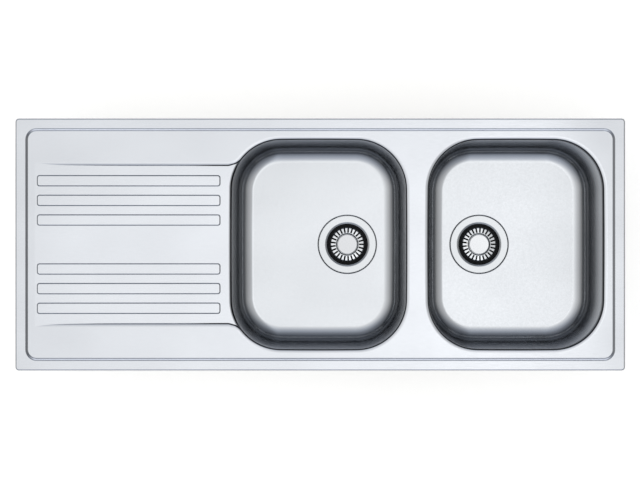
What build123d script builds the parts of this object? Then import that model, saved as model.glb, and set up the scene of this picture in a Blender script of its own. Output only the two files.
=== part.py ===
from build123d import *
from math import cos, radians, sin, tan
import os

# Inset kitchen sink with two bowls and a drainer, pressed from stainless steel sheet.
# Millimetres, +Z up. The origin is the middle of the sink's plan, on the worktop's top face.
# +X runs along the sink from the drainer to the bowls, and +Y runs to the back.

# Sink top: overall plan and the raised border that rests on the worktop
sink_length = 1160.0
sink_width = 480.0
sheet = 0.8
rim_height = 5.0
corner_radius = 7.0
edge_radius = 3.0
edge_clearance = 0.5
border_width = 19.5
step_depth = 4.0
step_angle = 45.0
step_corner_radius = 21.0
step_bend = 3.0
deck_level = rim_height - step_depth

# Bowls: opening at deck level, with sides that bow outward a little
bowl_length = 334.0
bowl_side_margin = 40.0
bowl_end_margin = 40.5
bowl_gap = 41.5
bowl_width = sink_width - 2 * bowl_side_margin
bowl_corner_radius = 95.0
side_bow = 2.0
bowl_depth = 155.0
wall_draft = 3.5
bowl_floor_radius = 30.5
rim_radius = 7.0
collar_depth = 21.0
right_bowl_x = sink_length / 2 - bowl_end_margin - bowl_length / 2
left_bowl_x = right_bowl_x - bowl_length - bowl_gap
floor_level = deck_level - bowl_depth
collar_level = deck_level - collar_depth

# Drainer: a shallow channel that falls towards the left bowl and opens into it
drainer_end_margin = 37.0
drainer_side_margin = 50.0
drainer_width = bowl_width - 2 * drainer_side_margin
drainer_fall = 7.0
mouth_radius = 38.0
mouth_roll_radius = 10.0
drainer_start_x = -sink_length / 2 + drainer_end_margin
drainer_end_x = left_bowl_x - bowl_length / 2
drainer_angle = drainer_fall / (drainer_end_x - drainer_start_x)

# Drainer ribs: two groups of three raised pads
rib_width = 21.0
rib_height = 2.0
rib_flank = 55.0
rib_corner_radius = 5.0
rib_pitch = 37.4
rib_side_gap = 18.1
rib_start_gap = 4.0
rib_end_gap = 20.5
ribs_per_group = 3
rib_length = drainer_end_x - rib_end_gap - drainer_start_x - rib_start_gap
rib_group_y = (drainer_width - rib_width - rib_pitch * (ribs_per_group - 1)) / 2 - rib_side_gap
rib_middle_x = drainer_end_x - rib_end_gap - rib_length / 2

# Seal between the border and the worktop
seal_setback = 4.5
seal_width = 5.0
seal_top = rim_height - sheet

# How far a cut runs past the face that it opens
overcut = 1.0

# Waste cup: flange, throat, ledge for the strainer, and a holed bottom
cup_throat_radius = 43.0
cup_throat_bend = 5.0
cup_flange_width = 13.8
cup_ledge_width = 4.4
cup_ledge_depth = 14.0
cup_depth = 36.0
cup_sheet = 1.2
cup_inner_bend = 1.5
cup_lower_bend = 2.0
cup_bottom_bend = 4.0
cup_holes = 8
cup_hole_radius = 6.5
cup_hole_circle = 24.0
cup_flange_radius = cup_throat_radius + cup_flange_width
cup_ledge_radius = cup_throat_radius - cup_ledge_width

# Waste holes and the shallow seats pressed round them
waste_offset = 56.75
waste_hole_clearance = 0.8
waste_hole_radius = cup_throat_radius + cup_sheet + waste_hole_clearance
cup_seal_height = 1.8
seat_clearance = 0.8
seat_depth = cup_sheet + cup_seal_height
seat_radius = cup_flange_radius + seat_clearance
left_waste_x = left_bowl_x + waste_offset
right_waste_x = right_bowl_x - waste_offset

# Plastic body and seals under the bowl
body_wall = 3.0
body_clearance = 1.0
body_flange_width = 11.0
body_flange_height = 4.0
body_seal_height = 2.5
body_seal_margin = 1.0
body_wall_height = 10.0
body_cone_height = 14.0
outlet_radius = 23.9
outlet_bore_radius = 20.5
outlet_length = 36.0
body_inner_radius = waste_hole_radius + body_clearance
body_flange_radius = body_inner_radius + body_flange_width
body_seal_radius = body_flange_radius - body_seal_margin
body_wall_depth = cup_depth + body_wall_height
body_cone_depth = body_wall_depth + body_cone_height
outlet_depth = body_cone_depth + outlet_length

# Boss in the body, its brass insert and the waste screw
boss_radius = 9.0
boss_gap = 8.0
boss_top_depth = cup_depth + boss_gap
boss_arms = 4
boss_arm_width = 3.0
insert_radius = 6.0
insert_length = 12.0
waste_screw_radius = 4.0
waste_screw_clearance = 0.3
waste_screw_end_gap = 1.0
thread_clearance = 0.05
screw_head_radius = 9.0
screw_head_height = 3.5
driver_slot_width = 1.2
driver_slot_depth = 1.4

# Strainer: slotted dome with a rubber ring, a cap in a dish, and a guide pin
ring_gap = 1.2
ring_width = 7.8
ring_top_depth = 7.8
ring_clearance = 0.3
ring_groove = 1.0
ring_edge = 1.2
ring_radius = cup_throat_radius - ring_gap
dome_radius = ring_radius - ring_width
dome_drop = 1.0
dome_fall = 1.0
dome_sheet = 1.0
dome_shoulder = 3.0
dome_depth = 26.0
cap_radius = 19.6
cap_rise = 2.2
cap_edge = 1.2
dish_radius = 22.3
dish_flare = 2.1
dish_depth = 3.6
dish_foot_bend = 0.6
dish_top_bend = 1.2
cap_seat_depth = dome_drop + dish_depth
cap_height = cap_rise + dish_depth
slot_count = 25
slot_width = 3.6
slot_depth = 7.0
slot_gap = 0.9
slot_start = dish_radius + slot_gap
pin_radius = 3.0
pin_fit = 0.15
pin_clearance = 1.0

# Fixing clips under the border, inside the worktop's cut-out
cutout_margin = 10.0
clip_end_margin = 130.0
clips_per_side = 4
clip_spacing = (sink_length - 2 * clip_end_margin) / (clips_per_side - 1)
bracket_clearance = 2.0
bracket_thickness = 1.5
bracket_length = 26.0
bracket_foot_length = 6.2
bracket_shelf_length = 15.8
bracket_drop = 16.0
bracket_bend = 1.0
bracket_foot_start = cutout_margin + bracket_clearance
bracket_web = bracket_foot_start + bracket_foot_length
bracket_reach = bracket_web + bracket_shelf_length
clip_screw_setback = 8.3
clip_margin = bracket_web + clip_screw_setback
clip_screw_radius = 2.5
clip_screw_clearance = 0.2
clip_screw_collar = 4.2
clip_screw_collar_height = 2.0
clip_screw_length = 44.0
clip_screw_head_radius = 4.6
clip_screw_head_height = 3.0
screw_foot = -bracket_drop - clip_screw_length

# Clip arms, at the foot of their screws as supplied
arm_thickness = 2.5
arm_width = 12.0
arm_length = 38.0
arm_tip_height = 6.0
arm_teeth = 3
arm_tooth_height = 2.0
arm_hub_radius = 5.0
arm_hub_height = 6.0
arm_fit = 0.05
arm_clearance = 0.3
arm_level = screw_foot + arm_clearance + arm_hub_height

# Sound-deadening pads glued under the bowls
pad_length = 96.0
pad_width = 210.0
pad_thickness = 2.5
pad_corner_radius = 12.0
pad_gap = 9.0

os.makedirs("parts", exist_ok=True)


def bend_shift(inset, bend):
    """How far a fold line moves sideways when a sheet folded by bend degrees is offset by inset."""
    return inset * tan(radians(bend) / 2)


def save(piece, name):
    """Label a finished piece and write it as one STEP file."""
    piece.label = name
    export_step(piece, f"parts/{name}.step")


def bowl_outline(x, grow):
    """Plan of a bowl's opening: a rectangle with bowed sides and large round corners."""
    half_x = bowl_length / 2 + grow
    half_y = bowl_width / 2 + grow
    corner_x = half_x - side_bow
    corner_y = half_y - side_bow
    with BuildSketch() as outline:
        with BuildLine():
            ThreePointArc((x - corner_x, -corner_y), (x, -half_y), (x + corner_x, -corner_y))
            ThreePointArc((x + corner_x, -corner_y), (x + half_x, 0), (x + corner_x, corner_y))
            ThreePointArc((x + corner_x, corner_y), (x, half_y), (x - corner_x, corner_y))
            ThreePointArc((x - corner_x, corner_y), (x - half_x, 0), (x - corner_x, -corner_y))
        make_face()
        fillet(outline.vertices(), bowl_corner_radius + grow)
    return outline.sketch


def mouth_outline(grow):
    """Plan of the left bowl's opening with the drainer channel flaring into it."""
    half_width = drainer_width / 2 + grow
    with BuildSketch() as outline:
        add(bowl_outline(left_bowl_x, grow))
        with Locations(((drainer_start_x + left_bowl_x) / 2, 0)):
            Rectangle(left_bowl_x - drainer_start_x, 2 * half_width)
        meeting = outline.vertices().filter_by(
            lambda v: v.X > rib_middle_x and abs(abs(v.Y) - half_width) < edge_clearance
        )
        fillet(meeting, mouth_radius - grow)
    return outline.sketch


def drainer_slab(inset):
    """The sloping floor of the drainer down to the collar's foot, rolled over into the left bowl."""
    grow = bend_shift(inset, 90 - wall_draft)
    top = deck_level - inset
    overlap = 3 * rim_radius
    end_x = left_bowl_x - bowl_length / 4
    end_top = top - drainer_angle * (end_x - drainer_start_x)
    with BuildPart() as slab:
        with BuildSketch(Plane.XZ):
            with BuildLine():
                Polyline(
                    (drainer_start_x - overlap, top),
                    (drainer_start_x, top),
                    (end_x, end_top),
                    (end_x, collar_level),
                    (drainer_start_x - overlap, collar_level),
                    close=True,
                )
            make_face()
        extrude(amount=drainer_width / 2 + overlap, both=True)
        with BuildSketch(Plane.XY.offset(top)):
            add(bowl_outline(left_bowl_x, grow))
        extrude(amount=-(collar_depth + overcut), taper=wall_draft, mode=Mode.SUBTRACT)
        lip = slab.edges().filter_by(
            lambda e: e.geom_type != GeomType.LINE and e.center().Z > top - 2 * drainer_fall
        )
        fillet(lip, mouth_roll_radius - inset)
    return slab.part


def rib_pads(inset):
    """The six raised ribs, standing on the sloping floor of the drainer."""
    floor_z = deck_level - inset - drainer_angle * (rib_middle_x - drainer_start_x)
    slope = Plane(
        origin=(rib_middle_x, 0, floor_z),
        x_dir=(1, 0, -drainer_angle),
        z_dir=(drainer_angle, 0, 1),
    )
    shrink = bend_shift(inset, rib_flank)
    with BuildPart() as pads:
        with BuildSketch(slope):
            for side in (-1, 1):
                with Locations((0, side * rib_group_y)):
                    with GridLocations(0, rib_pitch, 1, ribs_per_group):
                        RectangleRounded(
                            rib_length - 2 * shrink, rib_width - 2 * shrink, rib_corner_radius - shrink
                        )
        extrude(amount=rib_height, taper=90 - rib_flank)
    return pads.part


def level_face(form, height):
    """The level face of a form that lies at a height."""
    level = form.faces().filter_by(Axis.Z)
    return level.filter_by(lambda face: abs(face.center().Z - height) < edge_clearance)[0]


def top_form(inset):
    """Everything under the face of the sink top, with that face set back by inset."""
    rim_top = rim_height - inset
    deck_top = deck_level - inset
    grow = bend_shift(inset, 90 - wall_draft)
    slab = drainer_slab(inset)
    pads = rib_pads(inset)
    with BuildPart() as form:
        with BuildSketch(Plane.XY.offset(collar_level)):
            RectangleRounded(sink_length - 2 * inset, sink_width - 2 * inset, corner_radius - inset)
        extrude(amount=rim_top - collar_level)
        fillet(form.faces().sort_by(Axis.Z)[-1].edges(), edge_radius - inset)
        step = 2 * (border_width - bend_shift(inset, step_angle))
        with BuildSketch(Plane.XY.offset(rim_top)):
            RectangleRounded(sink_length - step, sink_width - step, step_corner_radius)
        extrude(amount=-step_depth, taper=90 - step_angle, mode=Mode.SUBTRACT)
        with BuildSketch(Plane.XY.offset(deck_top)):
            add(mouth_outline(grow))
            add(bowl_outline(right_bowl_x, grow))
        extrude(amount=-(collar_depth + overcut), taper=wall_draft, mode=Mode.SUBTRACT)
        for opening in level_face(form, deck_top).inner_wires():
            fillet(opening.edges(), rim_radius - inset)
        add(slab)
        add(pads)
        fillet(level_face(form, rim_top).inner_wires()[0].edges(), step_bend - inset)
        fillet(level_face(form, deck_top).outer_wire().edges(), step_bend + inset)
    return form.part


# Sink top: the deck, border, drainer and ribs are one pressing of even thickness
face_form = top_form(0)
back_form = top_form(sheet)
with BuildPart() as sink_top:
    add(face_form)
    add(back_form, mode=Mode.SUBTRACT)
    with BuildSketch(Plane.XY.offset(collar_level)):
        Rectangle(2 * sink_length, 2 * sink_width)
        skirt_length = sink_length - 4 * sheet
        skirt_width = sink_width - 4 * sheet
        RectangleRounded(skirt_length, skirt_width, corner_radius - 2 * sheet, mode=Mode.SUBTRACT)
    extrude(amount=edge_clearance - collar_level, mode=Mode.SUBTRACT)
save(sink_top.part, "sink_top")


def bowl_form(x, inset):
    """The space inside a bowl below its collar, grown by inset for the outer face of the sheet."""
    grow = inset / cos(radians(wall_draft))
    foot = floor_level - inset
    with BuildPart() as form:
        with BuildSketch(Plane.XY.offset(deck_level)):
            add(bowl_outline(x, grow))
        extrude(amount=foot - deck_level, taper=wall_draft)
        fillet(form.faces().sort_by(Axis.Z)[0].edges(), bowl_floor_radius + inset)
        with BuildSketch(Plane.XY.offset(collar_level)):
            Rectangle(2 * sink_length, 2 * sink_width)
        extrude(amount=collar_depth + overcut, mode=Mode.SUBTRACT)
    return form.part


def waste_seat(waste_x, inset):
    """The shallow round seat pressed into a bowl's floor, below the floor's own level."""
    with BuildPart() as seat:
        with BuildSketch(Plane.XY.offset(floor_level - seat_depth - inset)):
            with Locations((waste_x, 0)):
                Circle(seat_radius + inset)
        extrude(amount=seat_depth)
    return seat.part


def make_bowl(x, waste_x):
    """A deep-drawn bowl of even thickness, with the waste hole in its pressed seat."""
    space = bowl_form(x, 0)
    skin = bowl_form(x, sheet)
    seat = waste_seat(waste_x, 0)
    seat_skin = waste_seat(waste_x, sheet)
    with BuildPart() as bowl:
        add(skin)
        add(seat_skin)
        add(space, mode=Mode.SUBTRACT)
        add(seat, mode=Mode.SUBTRACT)
        with BuildSketch(Plane.XY.offset(floor_level)):
            with Locations((waste_x, 0)):
                Circle(waste_hole_radius)
        extrude(amount=-2 * seat_depth, mode=Mode.SUBTRACT)
    return bowl.part


save(make_bowl(left_bowl_x, left_waste_x), "left_bowl")
save(make_bowl(right_bowl_x, right_waste_x), "right_bowl")

# Rim seal: a soft strip all round, between the border and the worktop
with BuildPart() as rim_seal:
    with BuildSketch():
        outer_length = sink_length - 2 * seal_setback
        outer_width = sink_width - 2 * seal_setback
        RectangleRounded(outer_length, outer_width, corner_radius - seal_setback)
        Rectangle(outer_length - 2 * seal_width, outer_width - 2 * seal_width, mode=Mode.SUBTRACT)
    extrude(amount=seal_top)
save(rim_seal.part, "rim_seal")


def make_pad(x, side):
    """A sound-deadening pad glued under the bowl's floor, on the side away from the waste."""
    edge = waste_offset - seat_radius - sheet - pad_gap
    with BuildPart() as pad:
        with BuildSketch(Plane.XY.offset(floor_level - sheet)):
            with Locations((x + side * (edge - pad_length / 2), 0)):
                RectangleRounded(pad_length, pad_width, pad_corner_radius)
        extrude(amount=-pad_thickness)
    return pad.part


save(make_pad(left_bowl_x, 1), "left_bowl_pad")
save(make_pad(right_bowl_x, -1), "right_bowl_pad")


def waste_plane(x, turn=0):
    """Upright plane through a waste's centre line, with its heights measured from the bowl's floor."""
    radial = (cos(turn), sin(turn), 0)
    normal = (sin(turn), -cos(turn), 0)
    return Plane(origin=(x, 0, floor_level), x_dir=radial, z_dir=normal)


def waste_axis(x):
    """The upright centre line of a waste."""
    return Axis((x, 0, floor_level), (0, 0, 1))


def waste_circle(x, depth):
    """Level plane centred on a waste, at a depth below the bowl's floor."""
    return Plane(origin=(x, 0, floor_level - depth))


def make_cup(x):
    """Waste cup: a flange that lies in the seat, a throat, a ledge for the strainer and a holed bottom."""
    with BuildPart() as cup:
        with BuildSketch(waste_plane(x)):
            with BuildLine():
                face = FilletPolyline(
                    (cup_flange_radius, 0),
                    (cup_throat_radius, 0),
                    (cup_throat_radius, -cup_ledge_depth),
                    (cup_ledge_radius, -cup_ledge_depth),
                    (cup_ledge_radius, -cup_depth),
                    (0, -cup_depth),
                    radius=[cup_throat_bend, cup_inner_bend, cup_lower_bend, cup_bottom_bend],
                )
                offset(face, amount=cup_sheet, side=Side.LEFT)
            make_face()
        revolve(axis=waste_axis(x))
        with BuildSketch(waste_circle(x, cup_depth)):
            Circle(waste_screw_radius + waste_screw_clearance)
            with PolarLocations(cup_hole_circle, cup_holes):
                Circle(cup_hole_radius)
        extrude(amount=2 * cup_sheet, both=True, mode=Mode.SUBTRACT)
    return cup.part


def make_washer(x, top_depth, height, inner, outer):
    """A flat ring about a waste's centre line."""
    with BuildPart() as washer:
        with BuildSketch(waste_circle(x, top_depth)):
            Circle(outer)
            Circle(inner, mode=Mode.SUBTRACT)
        extrude(amount=-height)
    return washer.part


def make_waste_body(x):
    """Plastic waste body: clamped under the bowl, funnelled to a threaded outlet, with a boss on arms."""
    top = -seat_depth - sheet - body_seal_height
    outer_radius = body_inner_radius + body_wall
    with BuildPart() as body:
        with BuildSketch(waste_plane(x)):
            with BuildLine():
                Polyline(
                    (body_inner_radius, top),
                    (body_flange_radius, top),
                    (body_flange_radius, top - body_flange_height),
                    (outer_radius, top - body_flange_height),
                    (outer_radius, -body_wall_depth),
                    (outlet_radius, -body_cone_depth - body_wall),
                    (outlet_radius, -outlet_depth),
                    (outlet_bore_radius, -outlet_depth),
                    (outlet_bore_radius, -body_cone_depth),
                    (body_inner_radius, -body_wall_depth + body_wall),
                    close=True,
                )
            make_face()
        revolve(axis=waste_axis(x))
        for number in range(boss_arms):
            turn = radians(number * 360 / boss_arms)
            with BuildSketch(waste_plane(x, turn)):
                with BuildLine():
                    Polyline(
                        (0, -boss_top_depth),
                        (body_inner_radius, -boss_top_depth),
                        (body_inner_radius + body_wall / 2, -body_wall_depth + body_wall / 2),
                        (outlet_bore_radius + body_wall / 2, -body_cone_depth - body_wall / 2),
                        (0, -body_cone_depth - body_wall / 2),
                        close=True,
                    )
                make_face()
            extrude(amount=boss_arm_width / 2, both=True)
        with BuildSketch(waste_circle(x, boss_top_depth)):
            Circle(boss_radius)
        extrude(amount=-insert_length - body_wall)
        with BuildSketch(waste_circle(x, boss_top_depth)):
            Circle(insert_radius)
        extrude(amount=-insert_length, mode=Mode.SUBTRACT)
    return body.part


def make_insert(x):
    """Brass insert in the body's boss, bored for the waste screw."""
    with BuildPart() as insert:
        with BuildSketch(waste_circle(x, boss_top_depth)):
            Circle(insert_radius)
            Circle(waste_screw_radius + thread_clearance, mode=Mode.SUBTRACT)
        extrude(amount=-insert_length)
    return insert.part


def make_waste_screw(x):
    """Centre screw that clamps cup, bowl and body together, with a slotted round head."""
    length = boss_top_depth + insert_length - waste_screw_end_gap - cup_depth
    with BuildPart() as screw:
        with BuildSketch(waste_circle(x, cup_depth)):
            Circle(screw_head_radius)
        extrude(amount=screw_head_height)
        fillet(screw.edges().sort_by(Axis.Z)[-1], screw_head_height / 2)
        with BuildSketch(waste_circle(x, cup_depth)):
            Circle(waste_screw_radius)
        extrude(amount=-length)
        with BuildSketch(waste_circle(x, cup_depth - screw_head_height)):
            Rectangle(2 * screw_head_radius, driver_slot_width)
        extrude(amount=-driver_slot_depth, mode=Mode.SUBTRACT)
    return screw.part


def make_strainer(x):
    """Strainer dome: a dish for the cap, a ring of radial slots, a shoulder and an open skirt."""
    with BuildPart() as dome:
        with BuildSketch(waste_plane(x)):
            with BuildLine():
                face = FilletPolyline(
                    (pin_radius + pin_fit, -cap_seat_depth),
                    (dish_radius - dish_flare, -cap_seat_depth),
                    (dish_radius, -dome_drop),
                    (dome_radius, -dome_drop - dome_fall),
                    (dome_radius, -dome_depth),
                    radius=[dish_foot_bend, dish_top_bend, dome_shoulder],
                )
                offset(face, amount=dome_sheet, side=Side.RIGHT)
            make_face()
        revolve(axis=waste_axis(x))
        slot_length = dome_radius + dome_sheet - slot_start
        with BuildSketch(waste_circle(x, slot_depth)):
            with PolarLocations(slot_start, slot_count):
                Rectangle(slot_length, slot_width, align=(Align.MIN, Align.CENTER))
        extrude(amount=slot_depth, mode=Mode.SUBTRACT)
    return dome.part


def make_ring(x):
    """Rubber ring round the strainer's skirt, with two beads on top and its foot over the ledge."""
    foot = -cup_ledge_depth + ring_clearance
    valley = (dome_radius + ring_radius) / 2
    with BuildPart() as ring:
        with BuildSketch(waste_plane(x)):
            with BuildLine():
                FilletPolyline(
                    (dome_radius, -ring_top_depth),
                    (valley - ring_groove, -ring_top_depth),
                    (valley, -ring_top_depth - ring_groove),
                    (valley + ring_groove, -ring_top_depth),
                    (ring_radius, -ring_top_depth),
                    (ring_radius, foot),
                    (dome_radius, foot),
                    radius=[ring_groove / 4, ring_groove / 4, ring_groove / 4, ring_edge, ring_edge, 0, 0],
                    close=True,
                )
            make_face()
        revolve(axis=waste_axis(x))
    return ring.part


def make_cap(x):
    """Round cap that stands in the dome's dish as its handle."""
    with BuildPart() as cap:
        with BuildSketch(waste_circle(x, cap_seat_depth)):
            Circle(cap_radius)
        extrude(amount=cap_height)
        fillet(cap.edges().sort_by(Axis.Z)[-1], cap_edge)
        with BuildSketch(waste_circle(x, cap_seat_depth)):
            Circle(pin_radius)
        extrude(amount=cap_height / 2, mode=Mode.SUBTRACT)
    return cap.part


def make_pin(x):
    """Pin that rivets the cap to the dome and centres the strainer over the waste screw."""
    foot_depth = cup_depth - screw_head_height - pin_clearance
    with BuildPart() as pin:
        with BuildSketch(waste_circle(x, foot_depth)):
            Circle(pin_radius)
        extrude(amount=foot_depth - cap_seat_depth + cap_height / 2)
        chamfer(pin.edges().sort_by(Axis.Z)[0], pin_radius / 4)
    return pin.part


for side, x in (("left", left_waste_x), ("right", right_waste_x)):
    throat_edge = cup_throat_radius + cup_throat_bend
    cup_seal = make_washer(x, cup_sheet, cup_seal_height, throat_edge, body_seal_radius)
    body_seal = make_washer(x, seat_depth + sheet, body_seal_height, body_inner_radius, body_seal_radius)
    save(make_cup(x), f"{side}_waste_cup")
    save(cup_seal, f"{side}_cup_seal")
    save(body_seal, f"{side}_body_seal")
    save(make_waste_body(x), f"{side}_waste_body")
    save(make_insert(x), f"{side}_body_insert")
    save(make_waste_screw(x), f"{side}_waste_screw")
    save(make_strainer(x), f"{side}_strainer")
    save(make_ring(x), f"{side}_strainer_ring")
    save(make_cap(x), f"{side}_strainer_cap")
    save(make_pin(x), f"{side}_strainer_pin")

# Clip places: name, point on the sink's outer edge, and the direction outwards
clip_places = []
for side, outward in (("front", -1), ("back", 1)):
    for number in range(clips_per_side):
        along = (number - (clips_per_side - 1) / 2) * clip_spacing
        clip_places.append((f"{side}_{number + 1}", (along, outward * sink_width / 2), (0, outward)))
clip_places.append(("left", (-sink_length / 2, 0), (-1, 0)))
clip_places.append(("right", (sink_length / 2, 0), (1, 0)))


def clip_plane(edge, outward):
    """Upright plane square to the sink's edge: x outwards from the screw's centre line, y up."""
    pivot = (edge[0] - clip_margin * outward[0], edge[1] - clip_margin * outward[1], 0)
    return Plane(origin=pivot, x_dir=(outward[0], outward[1], 0), z_dir=(outward[1], -outward[0], 0))


def clip_level(edge, outward, height):
    """Level plane on the screw's centre line: x along the edge, y outwards."""
    pivot = (edge[0] - clip_margin * outward[0], edge[1] - clip_margin * outward[1], height)
    return Plane(origin=pivot, x_dir=(outward[1], -outward[0], 0), z_dir=(0, 0, 1))


# Brackets: bent strips welded under the border, each with a shelf that carries a screw
foot_outer = clip_margin - bracket_foot_start
web_outer = clip_margin - bracket_web
shelf_inner = clip_margin - bracket_reach
with BuildPart() as clip_brackets:
    for name, edge, outward in clip_places:
        with BuildSketch(clip_plane(edge, outward)):
            with BuildLine():
                strip = FilletPolyline(
                    (foot_outer, seal_top),
                    (web_outer, seal_top),
                    (web_outer, -bracket_drop),
                    (shelf_inner, -bracket_drop),
                    radius=[bracket_bend + bracket_thickness, bracket_bend],
                )
                offset(strip, amount=bracket_thickness, side=Side.LEFT)
            make_face()
        extrude(amount=bracket_length / 2, both=True)
        with BuildSketch(clip_level(edge, outward, -bracket_drop)):
            Circle(clip_screw_radius + clip_screw_clearance)
        extrude(amount=2 * bracket_thickness, both=True, mode=Mode.SUBTRACT)
save(clip_brackets.part, "clip_brackets")

# Clip screws: hung on the shelves by a collar, with a slotted head at the foot
clip_points = [
    (edge[0] - clip_margin * outward[0], edge[1] - clip_margin * outward[1])
    for name, edge, outward in clip_places
]
with BuildPart() as clip_screws:
    with BuildSketch(Plane.XY.offset(-bracket_drop)):
        with Locations(*clip_points):
            Circle(clip_screw_collar)
    extrude(amount=clip_screw_collar_height)
    with BuildSketch(Plane.XY.offset(-bracket_drop)):
        with Locations(*clip_points):
            Circle(clip_screw_radius)
    extrude(amount=-clip_screw_length)
    with BuildSketch(Plane.XY.offset(screw_foot)):
        with Locations(*clip_points):
            Circle(clip_screw_head_radius)
    extrude(amount=-clip_screw_head_height)
    with BuildSketch(Plane.XY.offset(screw_foot - clip_screw_head_height)):
        with Locations(*clip_points):
            Rectangle(2 * clip_screw_head_radius, driver_slot_width)
    extrude(amount=driver_slot_depth, mode=Mode.SUBTRACT)
save(clip_screws.part, "clip_screws")


def make_arm(edge, outward):
    """Swinging arm of a clip: a strip with a hub on the screw and an upturned toothed tip."""
    tooth_width = arm_width / (2 * arm_teeth - 1)
    with BuildPart() as arm:
        with BuildSketch(clip_level(edge, outward, arm_level)):
            SlotCenterPoint((arm_length / 2, 0), (arm_length, 0), arm_width)
            with Locations((arm_length + arm_width / 2, 0)):
                Rectangle(arm_width, arm_width, mode=Mode.SUBTRACT)
            with Locations((arm_length - arm_width / 4, 0)):
                Rectangle(arm_width / 2, arm_width)
        extrude(amount=-arm_thickness)
        with BuildSketch(clip_level(edge, outward, arm_level)):
            Circle(arm_hub_radius)
        extrude(amount=-arm_hub_height)
        with BuildSketch(clip_level(edge, outward, arm_level)):
            with Locations((arm_length - arm_thickness / 2, 0)):
                Rectangle(arm_thickness, arm_width)
        extrude(amount=arm_tip_height)
        with BuildSketch(clip_level(edge, outward, arm_level + arm_tip_height)):
            with Locations((arm_length - arm_thickness / 2, 0)):
                with GridLocations(0, 2 * tooth_width, 1, arm_teeth):
                    Rectangle(arm_thickness, tooth_width)
        extrude(amount=arm_tooth_height)
        with BuildSketch(clip_level(edge, outward, arm_level)):
            Circle(clip_screw_radius + arm_fit)
        extrude(amount=-arm_hub_height, mode=Mode.SUBTRACT)
    return arm.part


for name, edge, outward in clip_places:
    save(make_arm(edge, outward), f"clip_arm_{name}")
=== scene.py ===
# %% [markdown]
# # An inset kitchen sink with two bowls and a ribbed drainer
# The real sink is pressed from thin stainless steel sheet, and two deep-drawn bowls are welded under it.
# Each bowl has a polished waste with a slotted strainer, and clips under the border hold the sink down.
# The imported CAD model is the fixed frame. This script gives it its looks: smooth pressed skins worked out
# as formulas, steel with its grain, and the light of a product picture taken from straight above.

# %% Load the frame
import bpy
import numpy as np
from mathutils.geometry import delaunay_2d_cdt
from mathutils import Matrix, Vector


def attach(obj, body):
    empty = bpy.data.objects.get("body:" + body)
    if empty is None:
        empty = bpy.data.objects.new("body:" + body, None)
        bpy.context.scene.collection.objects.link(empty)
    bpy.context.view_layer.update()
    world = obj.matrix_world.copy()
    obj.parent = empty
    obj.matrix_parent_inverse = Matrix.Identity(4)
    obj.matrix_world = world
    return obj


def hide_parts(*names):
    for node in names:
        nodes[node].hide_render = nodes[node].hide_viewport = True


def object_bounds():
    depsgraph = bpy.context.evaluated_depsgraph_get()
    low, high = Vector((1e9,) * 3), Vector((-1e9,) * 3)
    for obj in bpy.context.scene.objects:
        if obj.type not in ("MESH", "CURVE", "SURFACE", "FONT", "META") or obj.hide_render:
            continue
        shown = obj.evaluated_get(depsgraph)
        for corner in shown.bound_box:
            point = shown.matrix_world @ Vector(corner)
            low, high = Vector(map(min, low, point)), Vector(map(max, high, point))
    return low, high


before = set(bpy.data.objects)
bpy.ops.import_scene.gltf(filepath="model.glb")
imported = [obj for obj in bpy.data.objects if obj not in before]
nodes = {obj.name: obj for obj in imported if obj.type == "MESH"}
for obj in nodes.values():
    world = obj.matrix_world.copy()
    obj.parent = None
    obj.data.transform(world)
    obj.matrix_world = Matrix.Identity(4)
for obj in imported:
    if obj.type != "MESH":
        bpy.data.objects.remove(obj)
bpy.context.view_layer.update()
MM = 0.001

# %% [markdown]
# ## Tools for sheet metal
# Every pressed part here is a sheet of even thickness, so one recipe serves them all. A patch is a grid of
# points with a true normal at each. The patches of a face are joined at their shared points, the back lies
# one sheet behind them, and strips close the free edges. The true normals matter most: polished steel shows
# every facet, and normals guessed from long thin faces would bend its reflections.

# %% A grid of points as a patch
def grid(points, normals, close_rows=False, close_columns=False):
    """Quads between neighbouring points of a (rows, columns, 3) array, each turned to face its normals."""
    rows, columns = points.shape[:2]
    index = np.arange(rows * columns).reshape(rows, columns)
    if close_rows:
        index = np.concatenate([index, index[:1]], axis=0)
    if close_columns:
        index = np.concatenate([index, index[:, :1]], axis=1)
    corners = [index[:-1, :-1], index[:-1, 1:], index[1:, 1:], index[1:, :-1]]
    quads = np.stack([corner.ravel() for corner in corners], axis=1)
    return face_outwards(points.reshape(-1, 3), normals.reshape(-1, 3), quads)


def face_outwards(points, normals, faces):
    """A patch whose faces wind so that each one's own normal agrees with the normals at its corners."""
    first, last = points[faces[:, 0]], points[faces[:, -1]]
    own = np.cross(points[faces[:, 2]] - first, last - points[faces[:, 1]])
    if faces.shape[1] == 3:
        own = np.cross(points[faces[:, 1]] - first, last - first)
    agree = np.sum(own * normals[faces].mean(axis=1), axis=1) >= 0
    return points, normals, np.where(agree[:, None], faces, faces[:, ::-1])


# %% A flat panel between edges
def web(outline, holes, height, normal=(0.0, 0.0, 1.0)):
    """Triangles that join the points of closed edges and no others, at height(x) and with one normal."""
    loops = [outline, *holes]
    flat = np.concatenate(loops)
    starts = np.cumsum([0] + [len(loop) for loop in loops])
    rings = []
    for loop, start in zip(loops, starts):
        following = np.roll(loop, -1, axis=0)
        area = np.sum(loop[:, 0] * following[:, 1] - following[:, 0] * loop[:, 1])
        ring = np.arange(start, start + len(loop))
        rings.append((ring if area > 0 else ring[::-1]).tolist())
    solved = delaunay_2d_cdt(flat.tolist(), [], rings, 1, 1e-5)
    source = np.array([origin[0] for origin in solved[3]])
    kept = [face for face, inside in zip(solved[2], solved[5]) if inside == [0]]
    points = np.column_stack([flat, np.broadcast_to(height(flat[:, 0]), len(flat))])
    normals = np.broadcast_to(np.array(normal) / np.linalg.norm(normal), points.shape)
    return face_outwards(points, normals, source[np.array(kept)])


# %% Patches into one closed mesh
WELD_CELL, CELL_SHIFT = 0.002, 0.377


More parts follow.
